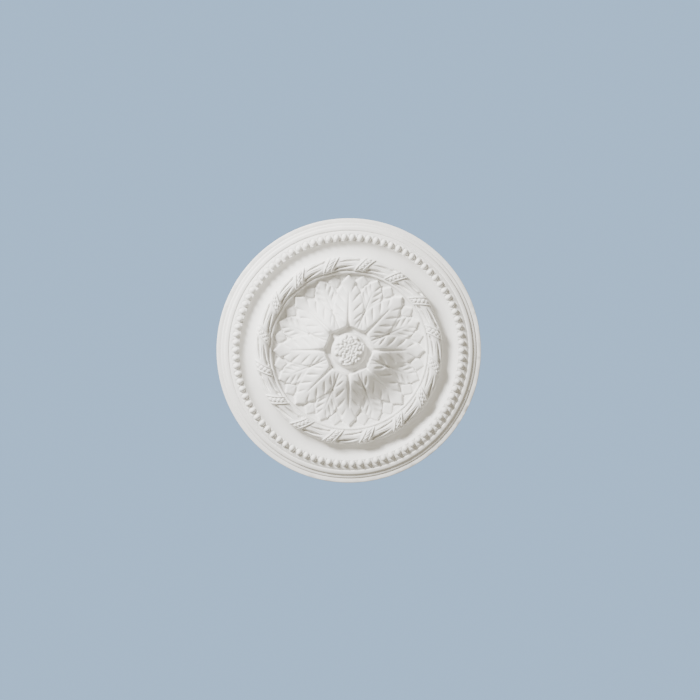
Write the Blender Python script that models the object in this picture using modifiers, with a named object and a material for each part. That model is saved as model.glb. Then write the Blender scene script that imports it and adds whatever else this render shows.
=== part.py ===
"""A plaster ceiling rose: one round casting with turned mouldings, a ring of beads, a ribbon-bound
wreath, a rosette of overlapping leaves and a boss.

The casting is modelled in the frame of its face: X and Y lie in the face as one looks at it, and Z is
the height above the flat back. Its parent is turned over, so the rose hangs face down from Z = 0.
"""

import math

import bmesh
import bpy

# Overall size, in metres
OUTER_RADIUS = 0.240
RIM_THICKNESS = 0.0112

# Beads, half sunk in their bed: their size and gap set how many there are
BEAD_DIAMETER = 0.0108
BEAD_GAP = 0.0035
BEAD_RISE = 0.0082
BEAD_SINK = 0.0022
BEAD_STRETCH = 1.17
BEAD_MARGIN = 0.0007

# Widths of the mouldings, from the outer edge inwards
RIM_FILLET_WIDTH = 0.0080
STEP_WIDTH = 0.0059
OVOLO_WIDTH = 0.0082
LEDGE_WIDTH = 0.0059
BEAD_BED_WIDTH = BEAD_DIAMETER * BEAD_STRETCH + 2 * BEAD_MARGIN
COVE_WIDTH = 0.0283
WREATH_WIDTH = 0.0250
INNER_FILLET_WIDTH = 0.0044

# Heights of the mouldings above the back
STEP_HEIGHT = 0.0132
STEP_FALL = 0.0005
STEP_RISER = 0.0014
OVOLO_HEIGHT = 0.0168
OVOLO_BOW = 0.0008
OVOLO_RISER = 0.0018
BEAD_BED_HEIGHT = 0.0180
COVE_HEIGHT = 0.0104
WREATH_SHOULDER_HEIGHT = 0.0156
WREATH_HEIGHT = 0.0268
INNER_FILLET_HEIGHT = 0.0184
INNER_FILLET_RISE = 0.0036

# Wreath: strands of leaves, bound by slanting ribbons
STRAND_COUNT = 3
STRAND_DEPTH = 0.0035
WREATH_FULLNESS = 0.4
RIBBON_COUNT = 16
RIBBON_SPREAD = 0.0187
RIBBON_RISE = 0.0016
RIBBON_BOW = 0.0020
RIBBON_BOW_SHARE = 0.62
RIBBON_SLANT = math.radians(34)
RIBBON_OVERHANG = 0.0010

# Collar and boss
COLLAR_RADIUS = 0.0445
COLLAR_SLOPE = 0.0050
COLLAR_DEPTH = 0.0015
BOSS_RADIUS = 0.0300
BOSS_RISE = 0.0080
PELLET_RADIUS = 0.0042
PELLET_RINGS = ((0, 1), (0.0088, 6), (0.0172, 12))

# Leaf rosette: a dome that falls into a dish, under three whorls of leaves
DOME_HEIGHT = 0.0345
DISH_HEIGHT = 0.0072
CROWN_WIDTH = 0.0075
TROUGH_SHARE = 0.83
DISH_LIP_SHARE = 0.20
LEAF_COUNT = 8
LEAF_RELIEF = 0.0045
LEAF_STEP = 0.0012
LEAF_ROOT_TUCK = 0.0095
EDGE_DROP = 0.0016
MIDRIB_DEPTH = 0.0022
MIDRIB_END = 0.80
FLUTE_DEPTH = 0.0018

# Each whorl's outline: the share of the way from root to tip, and the half width there as a share of
# the room that the leaf has in its whorl
MAIN_OUTLINE = (
    (0.0, 0.84), (0.18, 0.95), (0.30, 0.945), (0.45, 0.80), (0.59, 0.61), (0.70, 0.48),
    (0.87, 0.25), (1.0, 0.0),
)
SECOND_OUTLINE = ((0.0, 0.48), (0.25, 0.50), (0.55, 0.445), (0.78, 0.27), (1.0, 0.0))
SMALL_OUTLINE = ((0.0, 0.10), (0.56, 0.42), (1.0, 0.0))
MAIN_TIP = 0.983
SECOND_ROOT = 0.50
SECOND_TIP = 0.976
SMALL_ROOT = 0.80
SMALL_TIP = 0.986
CARVED_COLUMNS = (-1.0, -0.6, -0.2, 0.0, 0.2, 0.6, 1.0)
PLAIN_COLUMNS = (-1.0, 0.0, 1.0)

# Fineness of the round shapes
TURNED_STEPS = 60
COVE_STEPS = 4
GROUND_STOPS = (0.0, 0.24, 0.46, 0.70, 0.88)
BEAD_SIDES = 6
BOSS_SIDES = 12
PELLET_SIDES = 5
MERGE_DISTANCE = 0.00001
SINK = 0.0020

# Plaster
PLASTER_COLOUR = (0.78, 0.77, 0.74, 1.0)
PLASTER_ROUGHNESS = 0.75

# Radii that follow from the widths, each at its moulding's outer edge
STEP_RADIUS = OUTER_RADIUS - RIM_FILLET_WIDTH
OVOLO_RADIUS = STEP_RADIUS - STEP_WIDTH
LEDGE_RADIUS = OVOLO_RADIUS - OVOLO_WIDTH
BEAD_BED_RADIUS = LEDGE_RADIUS - LEDGE_WIDTH
COVE_RADIUS = BEAD_BED_RADIUS - BEAD_BED_WIDTH
WREATH_RADIUS = COVE_RADIUS - COVE_WIDTH
INNER_FILLET_RADIUS = WREATH_RADIUS - WREATH_WIDTH
ROSETTE_RADIUS = INNER_FILLET_RADIUS - INNER_FILLET_WIDTH
CROWN_RADIUS = COLLAR_RADIUS + CROWN_WIDTH
TROUGH_RADIUS = TROUGH_SHARE * ROSETTE_RADIUS
COLLAR_HEIGHT = DOME_HEIGHT - COLLAR_DEPTH
FOOT_HEIGHT = DISH_HEIGHT / 2


def ground_height(radius):
    """Height of the ground under the leaves: a dome that falls into a dish with a raised lip."""
    drop = DOME_HEIGHT - DISH_HEIGHT
    if radius > TROUGH_RADIUS:
        climb = (radius - TROUGH_RADIUS) / (ROSETTE_RADIUS - TROUGH_RADIUS)
        return DISH_HEIGHT + drop * DISH_LIP_SHARE * climb ** 2
    fall = max(radius - CROWN_RADIUS, 0) / (TROUGH_RADIUS - CROWN_RADIUS)
    return DISH_HEIGHT + drop * (1 + math.cos(math.pi * fall)) / 2


def arch(start, end, height, steps):
    """Section points after start, up to end, that bow up or down to the height midway."""
    rise = height - (start[1] + end[1]) / 2
    points = []
    for step in range(1, steps + 1):
        share = step / steps
        level = start[1] + (end[1] - start[1]) * share
        radius = start[0] + (end[0] - start[0]) * share
        points.append((radius, level + rise * math.sin(math.pi * share)))
    return points


def wreath_section():
    """Section over the wreath: a full arch that carries rounded strands."""
    points = [(INNER_FILLET_RADIUS, WREATH_SHOULDER_HEIGHT)]
    rise = WREATH_HEIGHT - WREATH_SHOULDER_HEIGHT
    for step in range(1, 2 * STRAND_COUNT):
        share = step / (2 * STRAND_COUNT)
        height = WREATH_SHOULDER_HEIGHT + rise * math.sin(math.pi * share) ** WREATH_FULLNESS
        if step % 2 == 0:
            height -= STRAND_DEPTH
        points.append((INNER_FILLET_RADIUS + WREATH_WIDTH * share, height))
    points.append((WREATH_RADIUS, WREATH_SHOULDER_HEIGHT))
    return points


def turned_section():
    """Half section of the casting, from the centre of the face to the rim and back along the back."""
    points = [(0, COLLAR_HEIGHT), (COLLAR_RADIUS - COLLAR_SLOPE / 2, COLLAR_HEIGHT)]
    for stop in GROUND_STOPS:
        radius = CROWN_RADIUS + (ROSETTE_RADIUS - CROWN_RADIUS) * stop
        points.append((radius, ground_height(radius)))
    points.append((ROSETTE_RADIUS, ground_height(ROSETTE_RADIUS) + INNER_FILLET_RISE))
    points.append((ROSETTE_RADIUS + INNER_FILLET_WIDTH / 2, INNER_FILLET_HEIGHT))
    points += wreath_section()
    points += arch(points[-1], (COVE_RADIUS, BEAD_BED_HEIGHT), COVE_HEIGHT, COVE_STEPS)
    points.append((BEAD_BED_RADIUS, BEAD_BED_HEIGHT))
    points.append((LEDGE_RADIUS, OVOLO_HEIGHT - OVOLO_BOW))
    points += arch(points[-1], (OVOLO_RADIUS - OVOLO_RISER, OVOLO_HEIGHT - OVOLO_BOW), OVOLO_HEIGHT, 2)
    points.append((OVOLO_RADIUS, STEP_HEIGHT))
    points.append((STEP_RADIUS - STEP_RISER, STEP_HEIGHT - STEP_FALL))
    points.append((STEP_RADIUS, RIM_THICKNESS))
    points.append((OUTER_RADIUS, RIM_THICKNESS))
    points.append((OUTER_RADIUS, 0))
    points.append((0, 0))
    return points


def new_collection(name):
    """A collection in the scene."""
    collection = bpy.data.collections.new(name)
    bpy.context.scene.collection.children.link(collection)
    return collection


def new_object(name, shape, collection, parent):
    """An object made of a bmesh, which is used up."""
    mesh = bpy.data.meshes.new(name)
    shape.to_mesh(mesh)
    shape.free()
    item = bpy.data.objects.new(name, mesh)
    collection.objects.link(item)
    item.parent = parent
    return item


def new_shape(name, shape, collection, parent):
    """A closed guide shape, facing out, that the casting is joined with or cut by."""
    bmesh.ops.recalc_face_normals(shape, faces=shape.faces)
    item = new_object(name, shape, collection, parent)
    item.hide_render = True
    item.display_type = "WIRE"
    return item


def turn(vertices, angle):
    """Turns vertices about the rose's axis."""
    cosine = math.cos(angle)
    sine = math.sin(angle)
    for vertex in vertices:
        x = vertex.co.x
        y = vertex.co.y
        vertex.co.x = x * cosine - y * sine
        vertex.co.y = x * sine + y * cosine


def extrude(shape, faces):
    """Extrudes faces in place, as the first cap of a closed block, and returns the new vertices."""
    swept = bmesh.ops.extrude_face_region(shape, geom=faces, use_keep_orig=True)
    return [item for item in swept["geom"] if isinstance(item, bmesh.types.BMVert)]


def turned_casting(name, collection, parent):
    """The casting's plain turned body: its half section swept about the axis."""
    section = bmesh.new()
    corners = [section.verts.new((radius, 0, height)) for radius, height in turned_section()]
    for pair in zip(corners, corners[1:]):
        section.edges.new(pair)
    body = new_object(name, section, collection, parent)
    screw = body.modifiers.new("turn", "SCREW")
    screw.axis = "Z"
    screw.steps = TURNED_STEPS
    screw.render_steps = TURNED_STEPS
    screw.use_merge_vertices = True
    screw.merge_threshold = MERGE_DISTANCE
    return body


def beads(collection, parent):
    """A ring of beads, a little longer towards the centre than along the ring."""
    ring_radius = COVE_RADIUS + BEAD_BED_WIDTH / 2
    count = round(math.tau * ring_radius / (BEAD_DIAMETER + BEAD_GAP))
    half = BEAD_DIAMETER / 2
    ring = bmesh.new()
    for index in range(count):
        bead = bmesh.ops.create_uvsphere(ring, u_segments=BEAD_SIDES, v_segments=4, radius=1)["verts"]
        bmesh.ops.scale(ring, verts=bead, vec=(half * BEAD_STRETCH, half, BEAD_RISE))
        bmesh.ops.translate(ring, verts=bead, vec=(ring_radius, 0, BEAD_BED_HEIGHT - BEAD_SINK))
        turn(bead, math.tau * (index + 0.5) / count)
    return new_shape("beads", ring, collection, parent)


def ribbons(collection, parent):
    """Bands over the wreath, each an arch whose far end is shifted clockwise."""
    middle = INNER_FILLET_RADIUS + WREATH_WIDTH / 2
    half = WREATH_WIDTH / 2 + RIBBON_OVERHANG
    top = WREATH_HEIGHT + RIBBON_RISE
    outline = (
        (-half, FOOT_HEIGHT), (-half, WREATH_SHOULDER_HEIGHT), (-half * RIBBON_BOW_SHARE, top - RIBBON_BOW),
        (0, top), (half * RIBBON_BOW_SHARE, top - RIBBON_BOW), (half, WREATH_SHOULDER_HEIGHT),
        (half, FOOT_HEIGHT),
    )
    bands = bmesh.new()
    for index in range(RIBBON_COUNT):
        near = [bands.verts.new((along, -RIBBON_SPREAD / 2, height)) for along, height in outline]
        far = extrude(bands, [bands.faces.new(near)])
        bmesh.ops.translate(bands, verts=far, vec=(0, RIBBON_SPREAD, 0))
        for vertex in near + far:
            vertex.co.y -= vertex.co.x * math.tan(RIBBON_SLANT)
            vertex.co.x += middle
        turn(near + far, math.tau * (index + 0.5) / RIBBON_COUNT)
    return new_shape("ribbons", bands, collection, parent)


def half_width(outline, share):
    """Half width of a leaf at a share of the way from its root to its tip."""
    for (near, near_width), (far, far_width) in zip(outline, outline[1:]):
        if share <= far:
            return near_width + (far_width - near_width) * (share - near) / (far - near)
    return 0.0


def carving(column, share, row):
    """Height of a leaf's point against its layer: a channel on the midrib, flutes and a lower edge."""
    if column == 0:
        return -MIDRIB_DEPTH * max(1 - share / MIDRIB_END, 0)
    if column == 1:
        return -EDGE_DROP
    if column > 0.5 and row % 2 == 1:
        return -FLUTE_DEPTH
    return 0.0


def leaf_rows(shape, outline, root, tip, room, columns, rows, relief, forward):
    """Rows of points over one leaf, which sweep forward from the midrib to the edge. Every second row
    is sunk on its flanks, which makes the slanting flutes."""
    grid = []
    for row in range(rows):
        share = row / rows
        line = []
        for column in columns:
            swept = share + forward * abs(column) * share * (1 - share)
            along = root + (tip - root) * swept
            across = column * half_width(outline, swept) * along * math.tan(room)
            height = ground_height(math.hypot(across, along)) + relief
            height += carving(abs(column), share, row)
            line.append(shape.verts.new((along, across, height)))
        grid.append(line)
    return grid


def whorl(name, outline, root, tip, count, shift, columns, rows, relief, forward, collection, parent):
    """A ring of equal carved leaves, each a block whose flat foot lies inside the casting."""
    room = math.pi / count
    shape = bmesh.new()
    for index in range(count):
        grid = leaf_rows(shape, outline, root, tip, room, columns, rows, relief, forward)
        point = shape.verts.new((tip, 0, ground_height(tip) + relief))
        faces = []
        for lower, upper in zip(grid, grid[1:]):
            for place in range(len(columns) - 1):
                corners = (lower[place], upper[place], upper[place + 1], lower[place + 1])
                faces.append(shape.faces.new(corners))
        for place in range(len(columns) - 1):
            faces.append(shape.faces.new((grid[-1][place], point, grid[-1][place + 1])))
        feet = extrude(shape, faces)
        for vertex in feet:
            vertex.co.z = FOOT_HEIGHT
        leaf = [vertex for line in grid for vertex in line] + [point] + feet
        turn(leaf, math.tau * (index + shift) / count)
    return new_shape(name, shape, collection, parent)


def collar_pocket(collection, parent):
    """The recess around the boss, with one corner on the axis of each main leaf."""
    pocket = bmesh.new()
    depth = COLLAR_DEPTH + LEAF_RELIEF + SINK
    bmesh.ops.create_cone(
        pocket, cap_ends=True, segments=LEAF_COUNT, depth=depth,
        radius1=COLLAR_RADIUS - COLLAR_SLOPE, radius2=COLLAR_RADIUS)
    corner = max(pocket.verts, key=lambda vertex: vertex.co.x)
    turn(pocket.verts, -math.atan2(corner.co.y, corner.co.x))
    bmesh.ops.translate(pocket, verts=pocket.verts, vec=(0, 0, COLLAR_HEIGHT + SINK / 4 + depth / 2))
    return new_shape("collar_pocket", pocket, collection, parent)


def boss(collection, parent):
    """A low dome that stands in the collar."""
    dome = bmesh.new()
    bmesh.ops.create_uvsphere(dome, u_segments=BOSS_SIDES, v_segments=8, radius=1)
    bmesh.ops.scale(dome, verts=dome.verts, vec=(BOSS_RADIUS, BOSS_RADIUS, BOSS_RISE + SINK))
    bmesh.ops.translate(dome, verts=dome.verts, vec=(0, 0, COLLAR_HEIGHT - SINK))
    return new_shape("boss", dome, collection, parent)


def pellets(collection, parent):
    """A cluster of pellets on the boss, in rings."""
    cluster = bmesh.new()
    for ring_radius, count in PELLET_RINGS:
        fall = math.sqrt(1 - (ring_radius / BOSS_RADIUS) ** 2)
        height = COLLAR_HEIGHT - SINK + (BOSS_RISE + SINK) * fall
        for index in range(count):
            pellet = bmesh.ops.create_uvsphere(
                cluster, u_segments=PELLET_SIDES, v_segments=2, radius=PELLET_RADIUS)["verts"]
            bmesh.ops.translate(cluster, verts=pellet, vec=(ring_radius, 0, height))
            turn(pellet, math.tau * index / count)
    return new_shape("pellets", cluster, collection, parent)


def add_boolean(body, operation, shape):
    """Joins a shape to the casting, or cuts it out."""
    modifier = body.modifiers.new(shape.name, "BOOLEAN")
    modifier.operation = operation
    modifier.solver = "EXACT"
    modifier.object = shape


def plaster():
    """Matte, slightly warm white plaster."""
    material = bpy.data.materials.new("plaster")
    material.use_nodes = True
    shader = material.node_tree.nodes["Principled BSDF"]
    shader.inputs["Base Color"].default_value = PLASTER_COLOUR
    shader.inputs["Roughness"].default_value = PLASTER_ROUGHNESS
    shader.inputs["Metallic"].default_value = 0.0
    return material


def main():
    """Builds the rose and hangs it face down."""
    for item in list(bpy.data.objects):
        bpy.data.objects.remove(item)
    parts = new_collection("ceiling_rose")
    shapes = new_collection("ceiling_rose_shapes")

    ceiling = bpy.data.objects.new("ceiling", None)
    parts.objects.link(ceiling)
    ceiling.rotation_euler = (math.pi, 0, 0)

    rose = turned_casting("ceiling_rose", parts, ceiling)
    rose.data.materials.append(plaster())
    add_boolean(rose, "UNION", beads(shapes, ceiling))
    add_boolean(rose, "UNION", ribbons(shapes, ceiling))
    add_boolean(rose, "UNION", whorl(
        "small_leaves", SMALL_OUTLINE, SMALL_ROOT * ROSETTE_RADIUS, SMALL_TIP * ROSETTE_RADIUS,
        2 * LEAF_COUNT, 0.5, PLAIN_COLUMNS, 2, LEAF_RELIEF - 2 * LEAF_STEP, 0, shapes, ceiling))
    add_boolean(rose, "UNION", whorl(
        "second_leaves", SECOND_OUTLINE, SECOND_ROOT * ROSETTE_RADIUS, SECOND_TIP * ROSETTE_RADIUS,
        LEAF_COUNT, 0.5, CARVED_COLUMNS, 4, LEAF_RELIEF - LEAF_STEP, 0.5, shapes, ceiling))
    add_boolean(rose, "UNION", whorl(
        "main_leaves", MAIN_OUTLINE, COLLAR_RADIUS - LEAF_ROOT_TUCK, MAIN_TIP * ROSETTE_RADIUS,
        LEAF_COUNT, 0, CARVED_COLUMNS, 8, LEAF_RELIEF, 0.9, shapes, ceiling))
    add_boolean(rose, "DIFFERENCE", collar_pocket(shapes, ceiling))
    add_boolean(rose, "UNION", boss(shapes, ceiling))
    add_boolean(rose, "UNION", pellets(shapes, ceiling))


main()
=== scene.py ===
"""Looks of a plaster ceiling rose that hangs face down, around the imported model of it.

The casting is one closed mesh. Its face is a relief, worked out as a height above the flat back for each
point of a ring grid: turned mouldings first, then beads, wreath, leaves, collar and boss on them.
Sizes are in metres. The relief is worked out as one looks at the face, with angles that run
anticlockwise from the right, and it is turned over when the mesh is made.
"""

import math

import bpy
import numpy as np
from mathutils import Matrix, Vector


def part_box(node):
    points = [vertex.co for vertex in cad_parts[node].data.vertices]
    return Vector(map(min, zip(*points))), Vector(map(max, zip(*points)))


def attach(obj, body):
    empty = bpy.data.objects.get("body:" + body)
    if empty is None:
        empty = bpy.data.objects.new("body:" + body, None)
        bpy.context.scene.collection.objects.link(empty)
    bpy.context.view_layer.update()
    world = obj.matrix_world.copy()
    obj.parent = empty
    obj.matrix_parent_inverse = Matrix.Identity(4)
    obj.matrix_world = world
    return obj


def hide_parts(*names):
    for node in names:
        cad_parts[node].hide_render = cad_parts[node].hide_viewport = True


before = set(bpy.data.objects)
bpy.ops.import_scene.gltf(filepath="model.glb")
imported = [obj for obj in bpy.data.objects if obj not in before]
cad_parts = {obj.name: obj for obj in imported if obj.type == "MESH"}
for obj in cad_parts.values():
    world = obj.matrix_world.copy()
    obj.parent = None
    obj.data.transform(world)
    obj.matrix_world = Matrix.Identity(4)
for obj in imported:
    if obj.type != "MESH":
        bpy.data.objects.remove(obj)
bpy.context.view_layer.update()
LOW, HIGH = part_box("ceiling_rose")
OUTER_RADIUS = (HIGH.x - LOW.x) / 2

# Widths of the mouldings, from the outer edge inwards
RIM_FILLET_WIDTH = 0.0080
STEP_WIDTH = 0.0059
OVOLO_WIDTH = 0.0082
QUIRK_WIDTH = 0.0010
LEDGE_WIDTH = 0.0049
BEAD_BED_WIDTH = 0.0140
COVE_WIDTH = 0.0283
WREATH_WIDTH = 0.0250
INNER_ROLL_WIDTH = 0.0044

# Heights of the mouldings above the back
RIM_THICKNESS = 0.0112
STEP_HEIGHT = 0.0132
OVOLO_HEIGHT = 0.0168
STEP_FULLNESS = 3.0
STEP_SLOPE = 0.0003
CREASE_DEPTH = 0.0010
CREASE_WIDTH_SHARE = 0.12
QUIRK_DEPTH = 0.0014
BEAD_BED_HEIGHT = 0.0182
BEAD_BED_DROP = 0.0008
COVE_HEIGHT = 0.0098
COVE_LOW_SHARE = 0.50
COVE_OUTER_POWER = 2.4
COVE_INNER_POWER = 2.1
WREATH_SHOULDER = 0.0146
WREATH_HEIGHT = 0.0264
INNER_ROLL_HEIGHT = 0.0184
INNER_GROOVE_HEIGHT = 0.0154
INNER_ROLL_SHARPNESS = 1.6
INNER_ROLL_SHIFT = 0.85
ARRIS_RADIUS = 0.0006
EDGE_ROUND = 0.0010

# Beads: their ring, the cups that they lie in and the bars between them
BEAD_COUNT = 90
BEAD_RING_RADIUS = 0.2049
BEAD_LENGTH = 0.0130
BEAD_WIDTH = 0.0112
BEAD_RISE = 0.0080
BEAD_TILT = 0.10
BEAD_MIDDLE_HEIGHT = 0.0160
CUP_DEPTH = 0.0007
# Where the cup's bottom lies, its width and where it fades out inwards, in half sizes of a bead
CUP_PLACE = 1.12
CUP_WIDTH = 0.14
CUP_FADE = (-1.2, -0.4)
BAR_RISE = 0.0005
BAR_HALF_WIDTH = 0.0013
BAR_INNER_END = 0.1980
BAR_INNER_FADE = (0.001, 0.002)
BAR_OUTER_END = 0.2140
BAR_OUTER_FADE = 0.004

# Wreath: three strands between slanting ribbons with raised borders and pearls
RIBBON_COUNT = 16
RIBBON_SHIFT = math.radians(1.1)
RIBBON_WIDTH = 0.0178
RIBBON_SLANT = math.radians(37)
RIBBON_RISE = 0.0014
RIBBON_OVERHANG = 0.0008
RIBBON_FULLNESS = 3
RIBBON_SIDE_SOFTNESS = 0.0003
RIBBON_END_EDGE = (-0.0002, 0.0004)
STRAND_FULLNESS = 2.4
STRAND_EDGE = (-0.0002, 0.0006)
BORDER_WIDTH = 0.0032
BORDER_RISE = 0.0007
CHANNEL_DEPTH = 0.0013
CHANNEL_EDGE = (0.4, 1.1)
PIT_DEPTH = 0.0046
PIT_PLACE = (0.0158, 0.0076)
PIT_SIZE = (0.0040, 0.0024)
PIT_FULLNESS = 1.5
# Grooves between strands: start and end, as places outwards and along, half width and depth
STRAND_GROOVES = (
    (0.0034, -0.0170, 0.0074, 0.0178, 0.0025, 0.0072),
    (0.0100, -0.0215, 0.0105, 0.0110, 0.0010, 0.0026),
    (0.0010, -0.0160, -0.0006, 0.0120, 0.0010, 0.0008),
)
PEARL_SIZE = 0.0030
SMALL_PEARL_SIZE = 0.0022
PEARL_PITCH = 0.0060
PEARL_SPREAD = 0.0030
PEARL_ROWS = range(-3, 5)

# Leaf rosette: a dome that falls into a dish, under three whorls of leaves
DOME_HEIGHT = 0.0345
DISH_HEIGHT = 0.0072
# Slope of the dome and the dish in degrees, from the centre of the rose outwards
DOME_SLOPES = (
    (0.0500, 0.0), (0.0555, 13.0), (0.0600, 27.0), (0.0670, 32.0), (0.0840, 32.0), (0.0912, 29.5),
    (0.0960, 25.5), (0.1008, 17.0), (0.1080, 10.0), (0.1152, 3.5), (0.1190, -2.0), (0.1230, -8.5),
    (0.1300, -12.0), (0.1335, -16.0), (0.1370, -20.5), (0.1415, -27.0),
)
LEAF_COUNT = 8
MAIN_RELIEF = 0.0056
SECOND_RELIEF = 0.0038
SECOND_ROOT_DROP = 0.0024
SECOND_ROOT_END = 0.1080
SMALL_RELIEF = 0.0026
LEAF_WALL = 0.0007
LEAF_EDGE_ROUND = 0.0009
LEAF_EDGE_WIDTH = 0.0026
LEAF_CROWN = 0.0016
SECOND_CROWN_SHARE = 0.6
# Outlines run aslant, so the distance inside them is this share of the distance across
OUTLINE_SLANT = 0.8
MAIN_LEAST_WIDTH = 0.006
SECOND_LEAST_WIDTH = 0.004

# Leaf outlines: places along the leaf's axis, from the centre of the rose, and the half width there
MAIN_OUTLINE = (
    (0.0300, 0.0200), (0.0550, 0.0230), (0.0662, 0.0264), (0.0740, 0.0276), (0.0816, 0.0270),
    (0.0880, 0.0252), (0.0912, 0.0252), (0.0960, 0.0243), (0.1020, 0.0214), (0.1050, 0.0212),
    (0.1110, 0.0185), (0.1180, 0.0132), (0.1215, 0.0128), (0.1245, 0.0128), (0.1373, 0.0000),
    (0.1573, -0.0200),
)
SECOND_OUTLINE = (
    (0.0600, 0.0060), (0.0720, 0.0090), (0.0860, 0.0150), (0.0980, 0.0188), (0.1063, 0.0197),
    (0.1110, 0.0188), (0.1150, 0.0187), (0.1200, 0.0170), (0.1240, 0.0128), (0.1268, 0.0118),
    (0.1310, 0.0078), (0.1375, 0.0000), (0.1575, -0.0200),
)
SMALL_PLACE = 0.1268
SMALL_HALF_LENGTH = 0.0112
SMALL_HALF_WIDTH = 0.0108
SMALL_ROUNDNESS = 1.25
SMALL_OUTLINE_SLANT = 0.75
SMALL_CROWN = 0.0006
SMALL_RIB_HALF_WIDTH = 0.0010
SMALL_RIB_DEPTH = 0.0005

# Midribs and flutes
MIDRIB_START = 0.0400
MIDRIB_END = 0.1070
MIDRIB_HALF_WIDTH = 0.0044
MIDRIB_DEPTH = 0.0046
SECOND_RIB_START = 0.0700
SECOND_RIB_END = 0.1150
SECOND_RIB_HALF_WIDTH = 0.0015
SECOND_RIB_DEPTH = 0.0012
RIB_TIP_SHARE = 0.22
RIB_LEAST_WIDTH = 0.000001
RIB_LEAD = 0.01
RIB_FADE_POWER = 0.7
# Each flute: where it starts and ends, as places across and along the leaf, and its depth
MAIN_FLUTES = (
    (0.0100, 0.0435, 0.0235, 0.0600, 0.0018),
    (0.0085, 0.0545, 0.0250, 0.0680, 0.0031),
    (0.0070, 0.0690, 0.0245, 0.0865, 0.0036),
    (0.0062, 0.0870, 0.0215, 0.1055, 0.0033),
    (0.0045, 0.1050, 0.0150, 0.1240, 0.0021),
)
SECOND_FLUTES = (
    (0.0045, 0.0930, 0.0165, 0.1090, 0.0026),
    (0.0035, 0.1040, 0.0160, 0.1210, 0.0028),
    (0.0025, 0.1150, 0.0105, 0.1295, 0.0021),
)
FLUTE_HALF_WIDTH = 0.0030
# How deep one leaf is cut beside the others, as shares
DEPTH_SPREAD = (0.85, 1.15)

# Section of every groove: where it is deepest, its fullness, its width at the ends and an inner crease
GROOVE_LEAN = 1.2
GROOVE_FULLNESS = 0.7
GROOVE_END_SHARE = 0.35
GROOVE_CREASE_SHARE = 0.35
GROOVE_CREASE_SHARPNESS = 3

# Long hollows between the main leaves' roots, each ending in a pit, and small pits between the tips
HOLLOW_START = 0.0430
HOLLOW_END = 0.0800
HOLLOW_HALF_WIDTH = 0.0034
HOLLOW_DEPTH = 0.0044
ROOT_PIT_RADIUS = 0.0775
ROOT_PIT_SIZE = 0.0022
ROOT_PIT_DEPTH = 0.0028
TIP_PIT_RADIUS = 0.1304
TIP_PIT_TURN = math.radians(5.62)
TIP_PIT_SIZE = 0.0017
TIP_PIT_DEPTH = 0.0022

# Collar and boss
COLLAR_APOTHEM = 0.0403
COLLAR_HEIGHT = 0.0287
COLLAR_SIDES = 1.05
COLLAR_WALL_WIDTH = 0.0028
COLLAR_WALL_RISE = 0.0119
COLLAR_WALL_FULLNESS = 1.3
COLLAR_SOFTNESS = 0.0010
ABOVE_THE_FACE = 0.05
CORNER_RADIUS = 0.0450
CORNER_SIZE = 0.0036
CORNER_DEPTH = 0.0026
CORNER_STRETCH = 0.8
BOSS_RADIUS = 0.0322
BOSS_HEIGHT = 0.0406
BOSS_FULLNESS = 6.0
BOSS_POWER = 0.70
BOSS_SINK = 0.001
BOSS_SOFTNESS = 0.0012
BOSS_MARGIN = 0.002

# Pellets on the boss, with the spread of their shares and how far they stray from a spiral
PELLET_COUNT = 64
PELLET_FIELD = 0.0250
PELLET_SIZE = 0.0038
PELLET_RISE = 0.0038
PELLET_LENGTHS = (0.9, 1.3)
PELLET_WIDTHS = (0.65, 0.9)
PELLET_RISES = (0.75, 1.15)
PELLET_STRAY = 0.0005
PELLET_STRAY_TURN = 0.12
# Larger pellets and curled flakes: right, up, half length, half width, turn in degrees and rise
LARGE_PELLETS = (
    (0.0039, 0.0188, 0.0046, 0.0040, 0, 0.0044), (0.0129, 0.0212, 0.0048, 0.0036, 150, 0.0046),
    (0.0268, 0.0041, 0.0070, 0.0024, 87, 0.0060), (-0.0034, -0.0252, 0.0082, 0.0026, 0, 0.0060),
)
GOLDEN_ANGLE = math.pi * (3 - math.sqrt(5))

# A hand-made unevenness
SEED = 7
WAVE_COUNT = 10
WAVE_HEIGHT = 0.00005
WAVE_LENGTHS = (0.015, 0.060)

# Ring grid: outer radius of each zone, the step between rings and the number of columns
ZONES = (
    (0.0300, 0.0004, 360), (0.1405, 0.00055, 1440), (0.1720, 0.00045, 1440), (0.1955, 0.0012, 720),
    (0.2170, 0.00050, 2880), (OUTER_RADIUS - EDGE_ROUND, 0.0004, 360),
)
RIM_ROUND_STEPS = 3
BACK_RINGS = (0.9, 0.7, 0.5, 0.3, 0.15)
TRIANGLE_LIMIT = 190000
SECTION_STEP = 0.0001

# Plaster
PLASTER_COLOUR = (0.82, 0.805, 0.768, 1.0)
PLASTER_ROUGHNESS = 0.78
PLASTER_SPECULAR = 0.3
CLOUD_SCALE = 14.0
CLOUD_DETAIL = 5.0
CLOUD_RANGE = (0.35, 0.65)
CLOUD_SHADE = 0.97
GRAIN_SCALE = 420.0
GRAIN_DETAIL = 3.0
GRAIN_STRENGTH = 0.12
GRAIN_DEPTH = 0.0004

# Studio
BACKDROP_COLOUR = (0.46, 0.70, 1.02, 1.0)
BACKDROP_SIZE = 2.6
BACKDROP_HEIGHT = 3.0
FLOOR_COLOUR = (0.74, 0.73, 0.71, 1.0)
FLOOR_SIZE = 80.0
FLOOR_HEIGHT = -4.6
STUDIO_ROUGHNESS = 0.9
WORLD_COLOUR = (0.58, 0.535, 0.43, 1.0)
KEY_AZIMUTH = math.radians(136)
KEY_ELEVATION = math.radians(32)
KEY_DISTANCE = 2.2
KEY_SIZE = 0.60
KEY_POWER = 192.0
KEY_COLOUR = (1.0, 1.01, 1.03)
TOP_LIGHT_PLACE = (1.1, -1.3, 1.5)
TOP_LIGHT_SIZE = 1.2
TOP_LIGHT_POWER = 60.0
TOP_LIGHT_COLOUR = (1.0, 1.0, 1.0)

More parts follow.
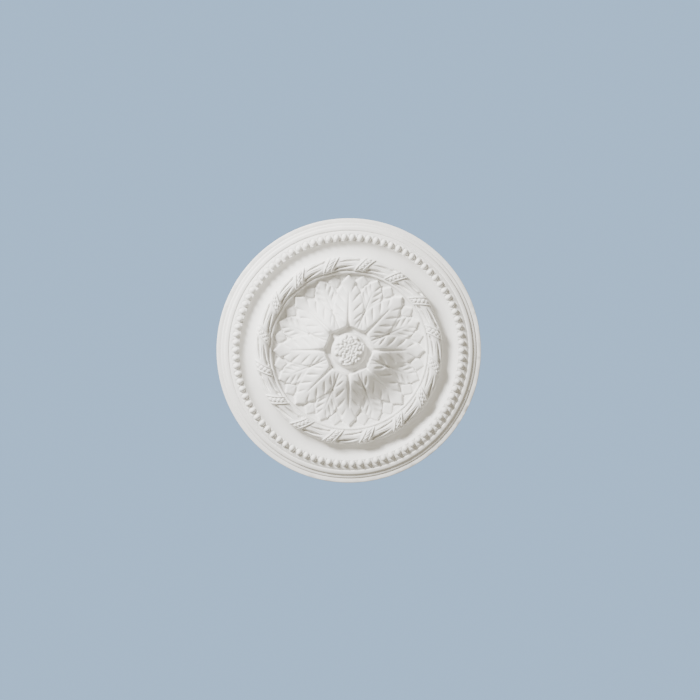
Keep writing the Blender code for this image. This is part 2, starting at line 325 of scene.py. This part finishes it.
# Camera: it faces the rose, which is off centre in the square picture
PICTURE_WIDTH = 700
DISC_RADIUS_IN_PICTURE = 132.2
DISC_CENTRE_IN_PICTURE = (348.8, 350.5)
LENS = 110.0
SENSOR = 36.0


def eased(value, start, end):
    """0 before start, 1 after end, with a smooth climb between them."""
    share = np.clip((value - start) / (end - start), 0, 1)
    return share * share * (3 - 2 * share)


def half_round(share):
    """A half circle over shares from -1 to 1, and 0 outside them."""
    return np.sqrt(np.clip(1 - share ** 2, 0, None))


def soft_max(first, second, softness):
    """The higher of two surfaces, with a fillet where they meet."""
    return (first + second + np.sqrt((first - second) ** 2 + softness ** 2)) / 2


def soft_min(first, second, softness):
    """The lower of two surfaces, with a rounded edge where they meet."""
    return (first + second - np.sqrt((first - second) ** 2 + softness ** 2)) / 2


def from_axis(angle, count, shift):
    """The angle from the nearest of count equal axes, and the number of that axis."""
    step = math.tau / count
    index = np.round(angle / step - shift)
    return angle - (index + shift) * step, index.astype(int) % count


def between_stations(stations, value):
    """What holds at a value, read between stations that each give a place and what holds there."""
    return np.interp(value, [place for place, _ in stations], [held for _, held in stations])


def groove(across, along, start, end, half_width):
    """Depth share of a groove from start to end, deepest past its middle, with tapering ends."""
    reach_across = end[0] - start[0]
    reach_along = end[1] - start[1]
    length = math.hypot(reach_across, reach_along)
    run = ((across - start[0]) * reach_across + (along - start[1]) * reach_along) / length ** 2
    off = ((across - start[0]) * reach_along - (along - start[1]) * reach_across) / length
    run = np.clip(run, 0, 1)
    body = np.sin(math.pi * run ** GROOVE_LEAN) ** GROOVE_FULLNESS
    width = half_width * (GROOVE_END_SHARE + (1 - GROOVE_END_SHARE) * body)
    hollow = np.exp(-(off / width) ** 2)
    crease = np.exp(-(GROOVE_CREASE_SHARPNESS * off / width) ** 2)
    return body * ((1 - GROOVE_CREASE_SHARE) * hollow + GROOVE_CREASE_SHARE * crease)


def ground_height(radius):
    """The ground under the leaves: a dome that falls into a dish, added up from its slopes."""
    fine = np.arange(0, OUTER_RADIUS + SECTION_STEP, SECTION_STEP)
    fall = np.cumsum(np.tan(np.radians(between_stations(DOME_SLOPES, fine)))) * SECTION_STEP
    height = DOME_HEIGHT - (DOME_HEIGHT - DISH_HEIGHT) * fall / fall.max()
    return np.interp(radius, fine, height)


def level_shape(height):
    """A flat stretch of the section."""
    return lambda share: np.full_like(share, height)


def step_shape(start, end):
    """A convex moulding with a crease at its foot, a steep outer side and a gently sloping top."""
    def shape(share):
        climb = (1 - (1 - share) ** STEP_FULLNESS) ** (1 / STEP_FULLNESS)
        crease = CREASE_DEPTH * np.exp(-(share / CREASE_WIDTH_SHARE) ** 2)
        return start + (end - start) * climb - STEP_SLOPE * (1 - share) * (share > 0) - crease
    return shape


def ledge_shape(share):
    """A slope up to the beads, behind the quirk."""
    return OVOLO_HEIGHT - QUIRK_DEPTH / 2 + (BEAD_BED_HEIGHT - OVOLO_HEIGHT + QUIRK_DEPTH / 2) * share


def cove_shape(share):
    """A plain hollow, low near its outer edge and climbing to the wreath."""
    outer = np.clip(1 - share / COVE_LOW_SHARE, 0, None) ** COVE_OUTER_POWER
    inner = np.clip((share - COVE_LOW_SHARE) / (1 - COVE_LOW_SHARE), 0, None) ** COVE_INNER_POWER
    return (COVE_HEIGHT + (BEAD_BED_HEIGHT - BEAD_BED_DROP - COVE_HEIGHT) * outer
            + (WREATH_SHOULDER - COVE_HEIGHT) * inner)


def inner_roll_shape(share):
    """A thin roll beside a groove, at the lip of the dish."""
    roll = half_round(INNER_ROLL_SHARPNESS * share - INNER_ROLL_SHIFT)
    return INNER_GROOVE_HEIGHT + (INNER_ROLL_HEIGHT - INNER_GROOVE_HEIGHT) * roll


def mouldings():
    """Each moulding's width and shape, from the outer edge inwards."""
    return (
        (RIM_FILLET_WIDTH, level_shape(RIM_THICKNESS)),
        (STEP_WIDTH, step_shape(RIM_THICKNESS, STEP_HEIGHT)),
        (OVOLO_WIDTH, step_shape(STEP_HEIGHT, OVOLO_HEIGHT)),
        (QUIRK_WIDTH, level_shape(OVOLO_HEIGHT - QUIRK_DEPTH)),
        (LEDGE_WIDTH, ledge_shape),
        (BEAD_BED_WIDTH, level_shape(BEAD_BED_HEIGHT)),
        (COVE_WIDTH, cove_shape),
        (WREATH_WIDTH, level_shape(WREATH_SHOULDER)),
        (INNER_ROLL_WIDTH, inner_roll_shape),
    )


ROSETTE_RADIUS = OUTER_RADIUS - sum(width for width, _ in mouldings())
WREATH_MIDDLE = ROSETTE_RADIUS + INNER_ROLL_WIDTH + WREATH_WIDTH / 2


def turned_section(radius):
    """Height of the turned mouldings, with softened arrises."""
    fine = np.arange(0, OUTER_RADIUS + SECTION_STEP, SECTION_STEP)
    height = ground_height(fine)
    edge = OUTER_RADIUS
    for width, shape in mouldings():
        inside = (fine <= edge + SECTION_STEP / 2) & (fine > edge - width)
        height[inside] = shape(np.clip((edge - fine[inside]) / width, 0, 1))
        edge -= width
    offsets = np.arange(-3 * ARRIS_RADIUS, 3 * ARRIS_RADIUS + SECTION_STEP, SECTION_STEP)
    weights = np.exp(-(2 * offsets / ARRIS_RADIUS) ** 2 / 2)
    reach = len(offsets) // 2
    padded = np.concatenate([np.full(reach, height[0]), height, np.full(reach, height[-1])])
    soft = np.convolve(padded, weights / weights.sum(), mode="valid")
    return np.interp(radius, fine, soft[:len(fine)])


def add_beads(height, radius, angle):
    """A ring of egg-shaped beads, each in a cup that is cut into their bed, with thin bars between."""
    turn, _ = from_axis(angle, BEAD_COUNT, 0.0)
    outwards = (radius - BEAD_RING_RADIUS) / (BEAD_LENGTH / 2)
    along = radius * turn / (BEAD_WIDTH / 2)
    away = np.hypot(outwards, along)
    bead = BEAD_MIDDLE_HEIGHT + BEAD_RISE * half_round(away) + BEAD_TILT * (radius - BEAD_RING_RADIUS)
    cup = CUP_DEPTH * np.exp(-((away - CUP_PLACE) / CUP_WIDTH) ** 2) * eased(outwards, *CUP_FADE)
    beside = radius * (math.pi / BEAD_COUNT - np.abs(turn)) / BAR_HALF_WIDTH
    reach = eased(radius, BAR_INNER_END - BAR_INNER_FADE[0], BAR_INNER_END + BAR_INNER_FADE[1])
    reach = reach * (1 - eased(radius, BAR_OUTER_END - BAR_OUTER_FADE, BAR_OUTER_END))
    bar = BAR_RISE * np.exp(-beside ** 2) * reach
    height = height - cup * (1 - np.exp(-beside ** 2)) + bar
    return np.where(away < 1, np.maximum(height, bead), height)


def pearls(slid, outwards, top):
    """Pearls down the middle of a ribbon, with smaller ones beside the gaps between them."""
    surface = np.full(np.broadcast(slid, outwards).shape, -1.0)
    for place in PEARL_ROWS:
        level = (place - 0.5) * PEARL_PITCH / 2
        large = place % 2 == 0
        size = PEARL_SIZE if large else SMALL_PEARL_SIZE
        for side in ((0,) if large else (-1, 1)):
            away = np.hypot(slid - side * PEARL_SPREAD, outwards - level) / size
            surface = np.where(away < 1, np.maximum(surface, top + size * half_round(away)), surface)
    return surface


def strands(outwards, run):
    """Three strands along a compartment of the wreath, with a deep pit beside each of its ends."""
    share = np.clip(np.abs(outwards) / (WREATH_WIDTH / 2), 0, 1)
    rise = WREATH_HEIGHT - WREATH_SHOULDER
    body = WREATH_SHOULDER + rise * np.sqrt(1 - share ** STRAND_FULLNESS)
    for side in (1, -1):
        for start_out, start_run, end_out, end_run, half_width, depth in STRAND_GROOVES:
            start = start_out, start_run
            end = end_out, end_run
            body = body - depth * groove(side * outwards, side * run, start, end, half_width)
        pit_run = (run - side * PIT_PLACE[0]) / PIT_SIZE[0]
        pit_out = (outwards - side * PIT_PLACE[1]) / PIT_SIZE[1]
        body = body - PIT_DEPTH * np.exp(-(pit_run ** 2 + pit_out ** 2) ** PIT_FULLNESS)
    return body


def ribbon(outwards, slid):
    """A ribbon over the wreath: a raised border on each side and pearls in the channel between them."""
    share = np.clip(np.abs(outwards) / (WREATH_WIDTH / 2 + RIBBON_OVERHANG), 0, 1)
    rise = WREATH_HEIGHT + RIBBON_RISE - WREATH_SHOULDER
    top = WREATH_SHOULDER + rise * np.sqrt(1 - share ** RIBBON_FULLNESS)
    from_border = (np.abs(slid) - (RIBBON_WIDTH - BORDER_WIDTH) / 2) / (BORDER_WIDTH / 2)
    channel = top - CHANNEL_DEPTH * eased(-from_border, *CHANNEL_EDGE)
    bordered = channel + BORDER_RISE * half_round(from_border)
    return np.maximum(bordered, pearls(slid, outwards, channel))


def add_wreath(height, radius, angle):
    """The wreath's compartments and the slanting ribbons that bind them."""
    outwards = radius - WREATH_MIDDLE
    lean = outwards * math.tan(RIBBON_SLANT)
    shift = 0.5 + RIBBON_SHIFT / (math.tau / RIBBON_COUNT)
    turn, _ = from_axis(angle, RIBBON_COUNT, shift)
    slid = WREATH_MIDDLE * turn + lean
    turn, _ = from_axis(angle + lean / WREATH_MIDDLE, RIBBON_COUNT, shift - 0.5)
    run = -WREATH_MIDDLE * turn

    half = WREATH_WIDTH / 2 + RIBBON_OVERHANG
    cover = eased(RIBBON_WIDTH / 2 - np.abs(slid), -RIBBON_SIDE_SOFTNESS, RIBBON_SIDE_SOFTNESS)
    cover = cover * eased(half - np.abs(outwards), *RIBBON_END_EDGE)
    body = strands(outwards, run) * (1 - cover) + ribbon(outwards, slid) * cover
    edge = np.maximum(eased(WREATH_WIDTH / 2 - np.abs(outwards), *STRAND_EDGE), cover)
    on_wreath = np.abs(outwards) < WREATH_WIDTH / 2 + 2 * RIBBON_OVERHANG
    return np.where(on_wreath, height * (1 - edge) + body * edge, height)


def cover_with(height, top, inset):
    """Lays a leaf over the ground: inset is the distance inside the leaf's outline."""
    rounded = top - LEAF_EDGE_ROUND * (1 - eased(inset, 0, LEAF_EDGE_WIDTH))
    share = eased(inset, -LEAF_WALL / 2, LEAF_WALL / 2)
    return height + (rounded - height) * share


def carved(top, across, along, flutes, index, depths):
    """Cuts mirrored flutes into a leaf, each leaf with its own depth."""
    for start_across, start_along, end_across, end_along, depth in flutes:
        start = start_across, start_along
        end = end_across, end_along
        cut = groove(np.abs(across), along, start, end, FLUTE_HALF_WIDTH)
        top = top - depth * depths[index] * cut
    return top


def channel_depth(across, along, start, end, half_width, depth):
    """A midrib channel with a V section, which narrows to a point."""
    share = np.clip((end - along) / (end - start), 0, 1) * (along > start - RIB_LEAD)
    width = half_width * (RIB_TIP_SHARE + (1 - RIB_TIP_SHARE) * share) + RIB_LEAST_WIDTH
    return depth * share ** RIB_FADE_POWER * np.clip(1 - (across / width) ** 2, 0, None)


def add_small_leaves(height, ground, radius, angle, depths):
    """Small diamond tips between the large leaves."""
    turn, index = from_axis(angle, 2 * LEAF_COUNT, 0.5)
    along = radius * np.cos(turn) - SMALL_PLACE
    across = radius * np.sin(turn)
    power = SMALL_ROUNDNESS
    away = ((np.abs(along) / SMALL_HALF_LENGTH) ** power
            + (np.abs(across) / SMALL_HALF_WIDTH) ** power) ** (1 / power)
    inset = (1 - away) * SMALL_HALF_WIDTH * SMALL_OUTLINE_SLANT
    top = ground + SMALL_RELIEF * depths[index] - SMALL_CROWN * np.abs(across) / SMALL_HALF_WIDTH
    top = top - channel_depth(across, along, -SMALL_HALF_LENGTH, SMALL_HALF_LENGTH, SMALL_RIB_HALF_WIDTH,
                              SMALL_RIB_DEPTH)
    return cover_with(height, top, inset)


def add_second_leaves(height, ground, radius, angle, depths):
    """Leaves that show between the main ones."""
    turn, index = from_axis(angle, LEAF_COUNT, 0.5)
    along = radius * np.cos(turn)
    across = radius * np.sin(turn)
    half = between_stations(SECOND_OUTLINE, along)
    sideways = (across / np.maximum(half, SECOND_LEAST_WIDTH)).clip(-1, 1)
    top = ground + SECOND_RELIEF - LEAF_CROWN * sideways ** 2 * SECOND_CROWN_SHARE
    top = top - SECOND_ROOT_DROP * (1 - eased(along, ROOT_PIT_RADIUS, SECOND_ROOT_END))
    top = carved(top, across, along, SECOND_FLUTES, index, depths)
    top = top - channel_depth(across, along, SECOND_RIB_START, SECOND_RIB_END, SECOND_RIB_HALF_WIDTH,
                              SECOND_RIB_DEPTH)
    return cover_with(height, top, (half - np.abs(across)) * OUTLINE_SLANT)


def add_main_leaves(height, ground, radius, angle, depths):
    """The eight large leaves."""
    turn, index = from_axis(angle, LEAF_COUNT, 0.0)
    along = radius * np.cos(turn)
    across = radius * np.sin(turn)
    half = between_stations(MAIN_OUTLINE, along)
    sideways = (across / np.maximum(half, MAIN_LEAST_WIDTH)).clip(-1, 1)
    top = ground + MAIN_RELIEF - LEAF_CROWN * sideways ** 2
    top = carved(top, across, along, MAIN_FLUTES, index, depths)
    top = top - channel_depth(across, along, MIDRIB_START, MIDRIB_END, MIDRIB_HALF_WIDTH, MIDRIB_DEPTH)
    return cover_with(height, top, (half - np.abs(across)) * OUTLINE_SLANT)


def cut_root_hollows(height, radius, angle):
    """Long tapering hollows between the main leaves' roots, each ending in a pit."""
    turn, _ = from_axis(angle, LEAF_COUNT, 0.5)
    along = radius * np.cos(turn)
    across = radius * np.sin(turn)
    cut = groove(across, along, (0.0, HOLLOW_START), (0.0, HOLLOW_END), HOLLOW_HALF_WIDTH)
    away = np.hypot(across, along - ROOT_PIT_RADIUS) / ROOT_PIT_SIZE
    return height - HOLLOW_DEPTH * cut - ROOT_PIT_DEPTH * np.exp(-away ** 2)


def cut_tip_pits(height, radius, angle):
    """Small pits in the ground beside the tips."""
    turn, _ = from_axis(angle, 2 * LEAF_COUNT, 0.0)
    away = np.hypot(radius * (np.abs(turn) - TIP_PIT_TURN), radius - TIP_PIT_RADIUS) / TIP_PIT_SIZE
    return height - TIP_PIT_DEPTH * np.exp(-away ** 2)


def cut_collar(height, radius, angle):
    """The eight-sided recess around the boss, with a hollow in each corner."""
    turn, _ = from_axis(angle, LEAF_COUNT, 0.5)
    from_side = radius * (1 - COLLAR_SIDES * (1 - np.cos(turn)))
    share = np.clip((from_side - COLLAR_APOTHEM) / COLLAR_WALL_WIDTH, 0, 1)
    climb = (1 - (1 - share) ** COLLAR_WALL_FULLNESS) ** (1 / COLLAR_WALL_FULLNESS)
    past_wall = from_side > COLLAR_APOTHEM + COLLAR_WALL_WIDTH
    wall = COLLAR_HEIGHT + COLLAR_WALL_RISE * climb + ABOVE_THE_FACE * past_wall
    height = soft_min(height, wall, COLLAR_SOFTNESS)
    turn, _ = from_axis(angle, LEAF_COUNT, 0.0)
    across = radius * np.sin(turn) * CORNER_STRETCH
    away = np.hypot(across, radius * np.cos(turn) - CORNER_RADIUS) / CORNER_SIZE
    return height - CORNER_DEPTH * np.exp(-away ** 2)


def boss_level(away, foot):
    """Height of the boss's dome at a distance from its centre, above its foot."""
    share = np.clip(away / BOSS_RADIUS, 0, 1)
    return foot + (BOSS_HEIGHT - foot) * (1 - share ** BOSS_FULLNESS) ** BOSS_POWER


def with_pellet(surface, right, up, centre, size):
    """Puts one oval pellet on the boss, from its centre and its half length, half width, turn and rise."""
    long, short, spin, lift = size
    right = right - centre[0]
    up = up - centre[1]
    first = (right * math.cos(spin) + up * math.sin(spin)) / long
    second = (up * math.cos(spin) - right * math.sin(spin)) / short
    away = np.hypot(first, second)
    pellet = boss_level(math.hypot(*centre), COLLAR_HEIGHT) + lift * half_round(away)
    return np.where(away < 1, np.maximum(surface, pellet), surface)


def add_boss(height, radius, angle, random):
    """A low dome covered with a cluster of irregular pellets."""
    dome = np.where(radius < BOSS_RADIUS, boss_level(radius, COLLAR_HEIGHT - BOSS_SINK), 0)
    height = soft_max(height, dome, BOSS_SOFTNESS)
    near = radius[:, 0] < BOSS_RADIUS + BOSS_MARGIN
    surface = height[near]
    right = (radius * np.cos(angle))[near]
    up = (radius * np.sin(angle))[near]
    for index in range(PELLET_COUNT):
        away = PELLET_FIELD * math.sqrt((index + 0.5) / PELLET_COUNT) + random.normal(0, PELLET_STRAY)
        heading = index * GOLDEN_ANGLE + random.normal(0, PELLET_STRAY_TURN)
        centre = away * math.cos(heading), away * math.sin(heading)
        spin = random.uniform(0, math.pi)
        long = PELLET_SIZE * random.uniform(*PELLET_LENGTHS)
        short = PELLET_SIZE * random.uniform(*PELLET_WIDTHS)
        lift = PELLET_RISE * random.uniform(*PELLET_RISES)
        surface = with_pellet(surface, right, up, centre, (long, short, spin, lift))
    for centre_right, centre_up, long, short, turn, lift in LARGE_PELLETS:
        size = (long, short, math.radians(turn), lift)
        surface = with_pellet(surface, right, up, (centre_right, centre_up), size)
    height[near] = surface
    return height


def unevenness(radius, angle, random):
    """A slight waviness of the whole face."""
    x = radius * np.cos(angle)
    y = radius * np.sin(angle)
    total = 0
    for _ in range(WAVE_COUNT):
        length = random.uniform(*WAVE_LENGTHS)
        heading = random.uniform(0, math.tau)
        phase = random.uniform(0, math.tau)
        along = x * math.cos(heading) + y * math.sin(heading)
        total = total + np.sin(along * math.tau / length + phase)
    return WAVE_HEIGHT * total


def face_height(radius, angle):
    """Height of the whole face, for a column of radii and a row of angles."""
    random = np.random.default_rng(SEED)
    depths = random.uniform(*DEPTH_SPREAD, 2 * LEAF_COUNT)
    ground = ground_height(radius)
    height = turned_section(radius)
    height = add_beads(height, radius, angle)
    height = add_wreath(height, radius, angle)
    height = add_small_leaves(height, ground, radius, angle, depths)
    height = cut_tip_pits(height, radius, angle)
    height = add_second_leaves(height, ground, radius, angle, depths)
    height = add_main_leaves(height, ground, radius, angle, depths)
    height = cut_root_hollows(height, radius, angle)
    height = cut_collar(height, radius, angle)
    height = add_boss(height, radius, angle, random)
    return height + unevenness(radius, angle, random)


def zone_rows():
    """Each zone's radii and number of columns, from the centre outwards."""
    rows = []
    start = ZONES[0][1]
    for end, step, columns in ZONES:
        count = round((end - start) / step)
        rows.append((np.linspace(start, end, count, endpoint=end == ZONES[-1][0]), columns))
        start = end
    return rows


def ring_faces(first, inner, outer):
    """Faces between two rings of points that start at first: quads, or fans where one ring is finer."""
    second = first + inner
    fine = max(inner, outer)
    coarse = min(inner, outer)
    place = np.arange(fine)
    following = (place + 1) % fine
    if inner == outer:
        return [np.stack([first + place, second + place, second + following, first + following], axis=1)]
    ratio = fine // coarse
    owner = (place + ratio // 2) // ratio % coarse
    next_owner = (following + ratio // 2) // ratio % coarse
    step = owner != next_owner
    if outer == fine:
        fan = first + owner, second + place, second + following
        link = first + owner, second + following, first + next_owner
    else:
        fan = second + owner, first + following, first + place
        link = second + owner, second + next_owner, first + following
    return [np.stack(fan, axis=1), np.stack(link, axis=1)[step]]


def casting_mesh():
    """The closed mesh: face, rim and flat back."""
    points = [np.array([[0.0, 0.0, 0.0]])]
    rings = []
    for radii, columns in zone_rows():
        radius = radii[:, None]
        angle = (np.arange(columns) * math.tau / columns)[None, :]
        height = face_height(radius, angle)
        zone = np.stack([radius * np.cos(angle), radius * np.sin(angle), height], axis=-1)
        points.append(zone.reshape(-1, 3))
        rings += [columns] * len(radii)
    columns = ZONES[-1][2]
    angle = np.arange(columns) * math.tau / columns
    for radius, height in rim_and_back():
        level = np.full(columns, height)
        points.append(np.stack([radius * np.cos(angle), radius * np.sin(angle), level], axis=-1))
        rings.append(columns)
    points.append(np.array([[0.0, 0.0, 0.0]]))
    points = np.concatenate(points)
    points[0, 2] = points[1:1 + rings[0], 2].mean()
    faces = []
    first = 1
    for inner, outer in zip(rings, rings[1:]):
        for group in ring_faces(first, inner, outer):
            faces += group.tolist()
        first += inner
    last = len(points) - 1
    faces += [[0, 1 + place, 1 + (place + 1) % rings[0]] for place in range(rings[0])]
    faces += [[last, first + (place + 1) % columns, first + place] for place in range(columns)]
    points[:, 1] *= -1
    points[:, 2] *= -1
    mesh = bpy.data.meshes.new("plaster_rose")
    mesh.from_pydata(points.tolist(), [], faces)
    mesh.update()
    return mesh


def rim_and_back():
    """Radius and height of the rings that close the mesh, from the face's edge to the back's middle."""
    rings = []
    for step in range(1, RIM_ROUND_STEPS + 1):
        slope = math.pi / 2 * step / RIM_ROUND_STEPS
        rings.append((OUTER_RADIUS - EDGE_ROUND * (1 - math.sin(slope)),
                      RIM_THICKNESS - EDGE_ROUND * (1 - math.cos(slope))))
    rings += [(OUTER_RADIUS, RIM_THICKNESS / 2), (OUTER_RADIUS, EDGE_ROUND / 2)]
    rings += [(OUTER_RADIUS - EDGE_ROUND / 2, 0.0)]
    rings += [(OUTER_RADIUS * share, 0.0) for share in BACK_RINGS]
    return rings


def plaster():
    """Matte, slightly warm white plaster with a fine cast grain."""
    material = bpy.data.materials.new("plaster")
    material.use_nodes = True
    nodes = material.node_tree.nodes
    links = material.node_tree.links
    shader = nodes["Principled BSDF"]
    shader.inputs["Roughness"].default_value = PLASTER_ROUGHNESS
    shader.inputs["Specular IOR Level"].default_value = PLASTER_SPECULAR
    place = nodes.new("ShaderNodeTexCoord")

    cloud = nodes.new("ShaderNodeTexNoise")
    cloud.inputs["Scale"].default_value = CLOUD_SCALE
    cloud.inputs["Detail"].default_value = CLOUD_DETAIL
    links.new(place.outputs["Object"], cloud.inputs["Vector"])
    tone = nodes.new("ShaderNodeValToRGB")
    tone.color_ramp.elements[0].position = CLOUD_RANGE[0]
    tone.color_ramp.elements[0].color = tuple(CLOUD_SHADE * part for part in PLASTER_COLOUR[:3]) + (1.0,)
    tone.color_ramp.elements[1].position = CLOUD_RANGE[1]
    tone.color_ramp.elements[1].color = PLASTER_COLOUR
    links.new(cloud.outputs["Fac"], tone.inputs["Fac"])
    links.new(tone.outputs["Color"], shader.inputs["Base Color"])

    grain = nodes.new("ShaderNodeTexNoise")
    grain.inputs["Scale"].default_value = GRAIN_SCALE
    grain.inputs["Detail"].default_value = GRAIN_DETAIL
    links.new(place.outputs["Object"], grain.inputs["Vector"])
    bump = nodes.new("ShaderNodeBump")
    bump.inputs["Strength"].default_value = GRAIN_STRENGTH
    bump.inputs["Distance"].default_value = GRAIN_DEPTH
    links.new(grain.outputs["Fac"], bump.inputs["Height"])
    links.new(bump.outputs["Normal"], shader.inputs["Normal"])
    return material


def keep_inside(mesh):
    """Moves points that the reducing has put past the rim or the back on to them again."""
    points = np.empty(3 * len(mesh.vertices))
    mesh.vertices.foreach_get("co", points)
    points = points.reshape(-1, 3)
    reach = np.hypot(points[:, 0], points[:, 1]) / OUTER_RADIUS
    points[:, :2] /= np.maximum(reach, 1.0)[:, None]
    points[:, 2] = np.minimum(points[:, 2], 0.0)
    mesh.vertices.foreach_set("co", points.ravel())
    mesh.update()


def reduced(mesh):
    """The mesh within the triangle limit, with fewer triangles where the surface is plain."""
    item = bpy.data.objects.new("fine_rose", mesh)
    bpy.context.scene.collection.objects.link(item)
    triangles = sum(len(face.vertices) - 2 for face in mesh.polygons)
    modifier = item.modifiers.new("reduce", "DECIMATE")
    modifier.ratio = TRIANGLE_LIMIT / triangles
    modifier.use_collapse_triangulate = True
    graph = bpy.context.evaluated_depsgraph_get()
    result = bpy.data.meshes.new_from_object(item.evaluated_get(graph))
    bpy.data.objects.remove(item)
    bpy.data.meshes.remove(mesh)
    result.name = "plaster_rose"
    keep_inside(result)
    return result


def rose():
    """The casting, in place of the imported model's node."""
    mesh = casting_mesh()
    mesh = reduced(mesh)
    mesh.shade_smooth()
    mesh.materials.clear()
    mesh.materials.append(plaster())
    item = bpy.data.objects.new("plaster_rose", mesh)
    bpy.context.scene.collection.objects.link(item)
    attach(item, "root")
    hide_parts("ceiling_rose")


def plain_material(name, colour):
    """A plain matte finish for the studio."""
    material = bpy.data.materials.new(name)
    material.use_nodes = True
    shader = material.node_tree.nodes["Principled BSDF"]
    shader.inputs["Base Color"].default_value = colour
    shader.inputs["Roughness"].default_value = STUDIO_ROUGHNESS
    return material


def glowing_material(name, colour):
    """An even backdrop that needs no light."""
    material = bpy.data.materials.new(name)
    material.use_nodes = True
    nodes = material.node_tree.nodes
    nodes.clear()
    glow = nodes.new("ShaderNodeEmission")
    glow.inputs["Color"].default_value = colour
    output = nodes.new("ShaderNodeOutputMaterial")
    material.node_tree.links.new(glow.outputs["Emission"], output.inputs["Surface"])
    return material


def studio_plane(name, size, height, material):
    """A level square that isn't part of the object."""
    half = size / 2
    mesh = bpy.data.meshes.new(name)
    mesh.from_pydata([(-half, -half, 0), (half, -half, 0), (half, half, 0), (-half, half, 0)], [],
                     [(0, 1, 2, 3)])
    mesh.materials.append(material)
    plane = bpy.data.objects.new(name, mesh)
    plane.location.z = height
    bpy.context.scene.collection.objects.link(plane)


def area_light(name, place, target, size, power, colour):
    """A soft light at a place, aimed at a target."""
    data = bpy.data.lights.new(name, "AREA")
    data.shape = "DISK"
    data.size = size
    data.energy = power
    data.color = colour
    light = bpy.data.objects.new(name, data)
    light.location = place
    light.rotation_euler = (Vector(target) - Vector(place)).to_track_quat("-Z", "Y").to_euler()
    bpy.context.scene.collection.objects.link(light)


def studio():
    """Floor, backdrop, ambient light and lamps."""
    studio_plane("floor", FLOOR_SIZE, FLOOR_HEIGHT, plain_material("floor", FLOOR_COLOUR))
    glow = glowing_material("backdrop", BACKDROP_COLOUR)
    studio_plane("backdrop", BACKDROP_SIZE, BACKDROP_HEIGHT, glow)
    world = bpy.data.worlds.new("studio")
    world.use_nodes = True
    world.node_tree.nodes["Background"].inputs["Color"].default_value = WORLD_COLOUR
    bpy.context.scene.world = world
    level = KEY_DISTANCE * math.cos(KEY_ELEVATION)
    key_place = (level * math.cos(KEY_AZIMUTH), -level * math.sin(KEY_AZIMUTH),
                 -KEY_DISTANCE * math.sin(KEY_ELEVATION))
    area_light("key_light", key_place, (0, 0, 0), KEY_SIZE, KEY_POWER, KEY_COLOUR)
    area_light("top_light", TOP_LIGHT_PLACE, (0, 0, 0), TOP_LIGHT_SIZE, TOP_LIGHT_POWER, TOP_LIGHT_COLOUR)


def camera():
    """A camera straight below the rose, with the disc off centre as in the photograph."""
    pixel = OUTER_RADIUS / DISC_RADIUS_IN_PICTURE
    distance = pixel * PICTURE_WIDTH * LENS / SENSOR
    middle = PICTURE_WIDTH / 2
    data = bpy.data.cameras.new("camera")
    data.lens = LENS
    data.sensor_width = SENSOR
    item = bpy.data.objects.new("camera", data)
    item.location = (
        (middle - DISC_CENTRE_IN_PICTURE[0]) * pixel, (middle - DISC_CENTRE_IN_PICTURE[1]) * pixel,
        -RIM_THICKNESS - distance)
    item.rotation_euler = (math.pi, 0, 0)
    bpy.context.scene.collection.objects.link(item)
    bpy.context.scene.camera = item


rose()
studio()
camera()
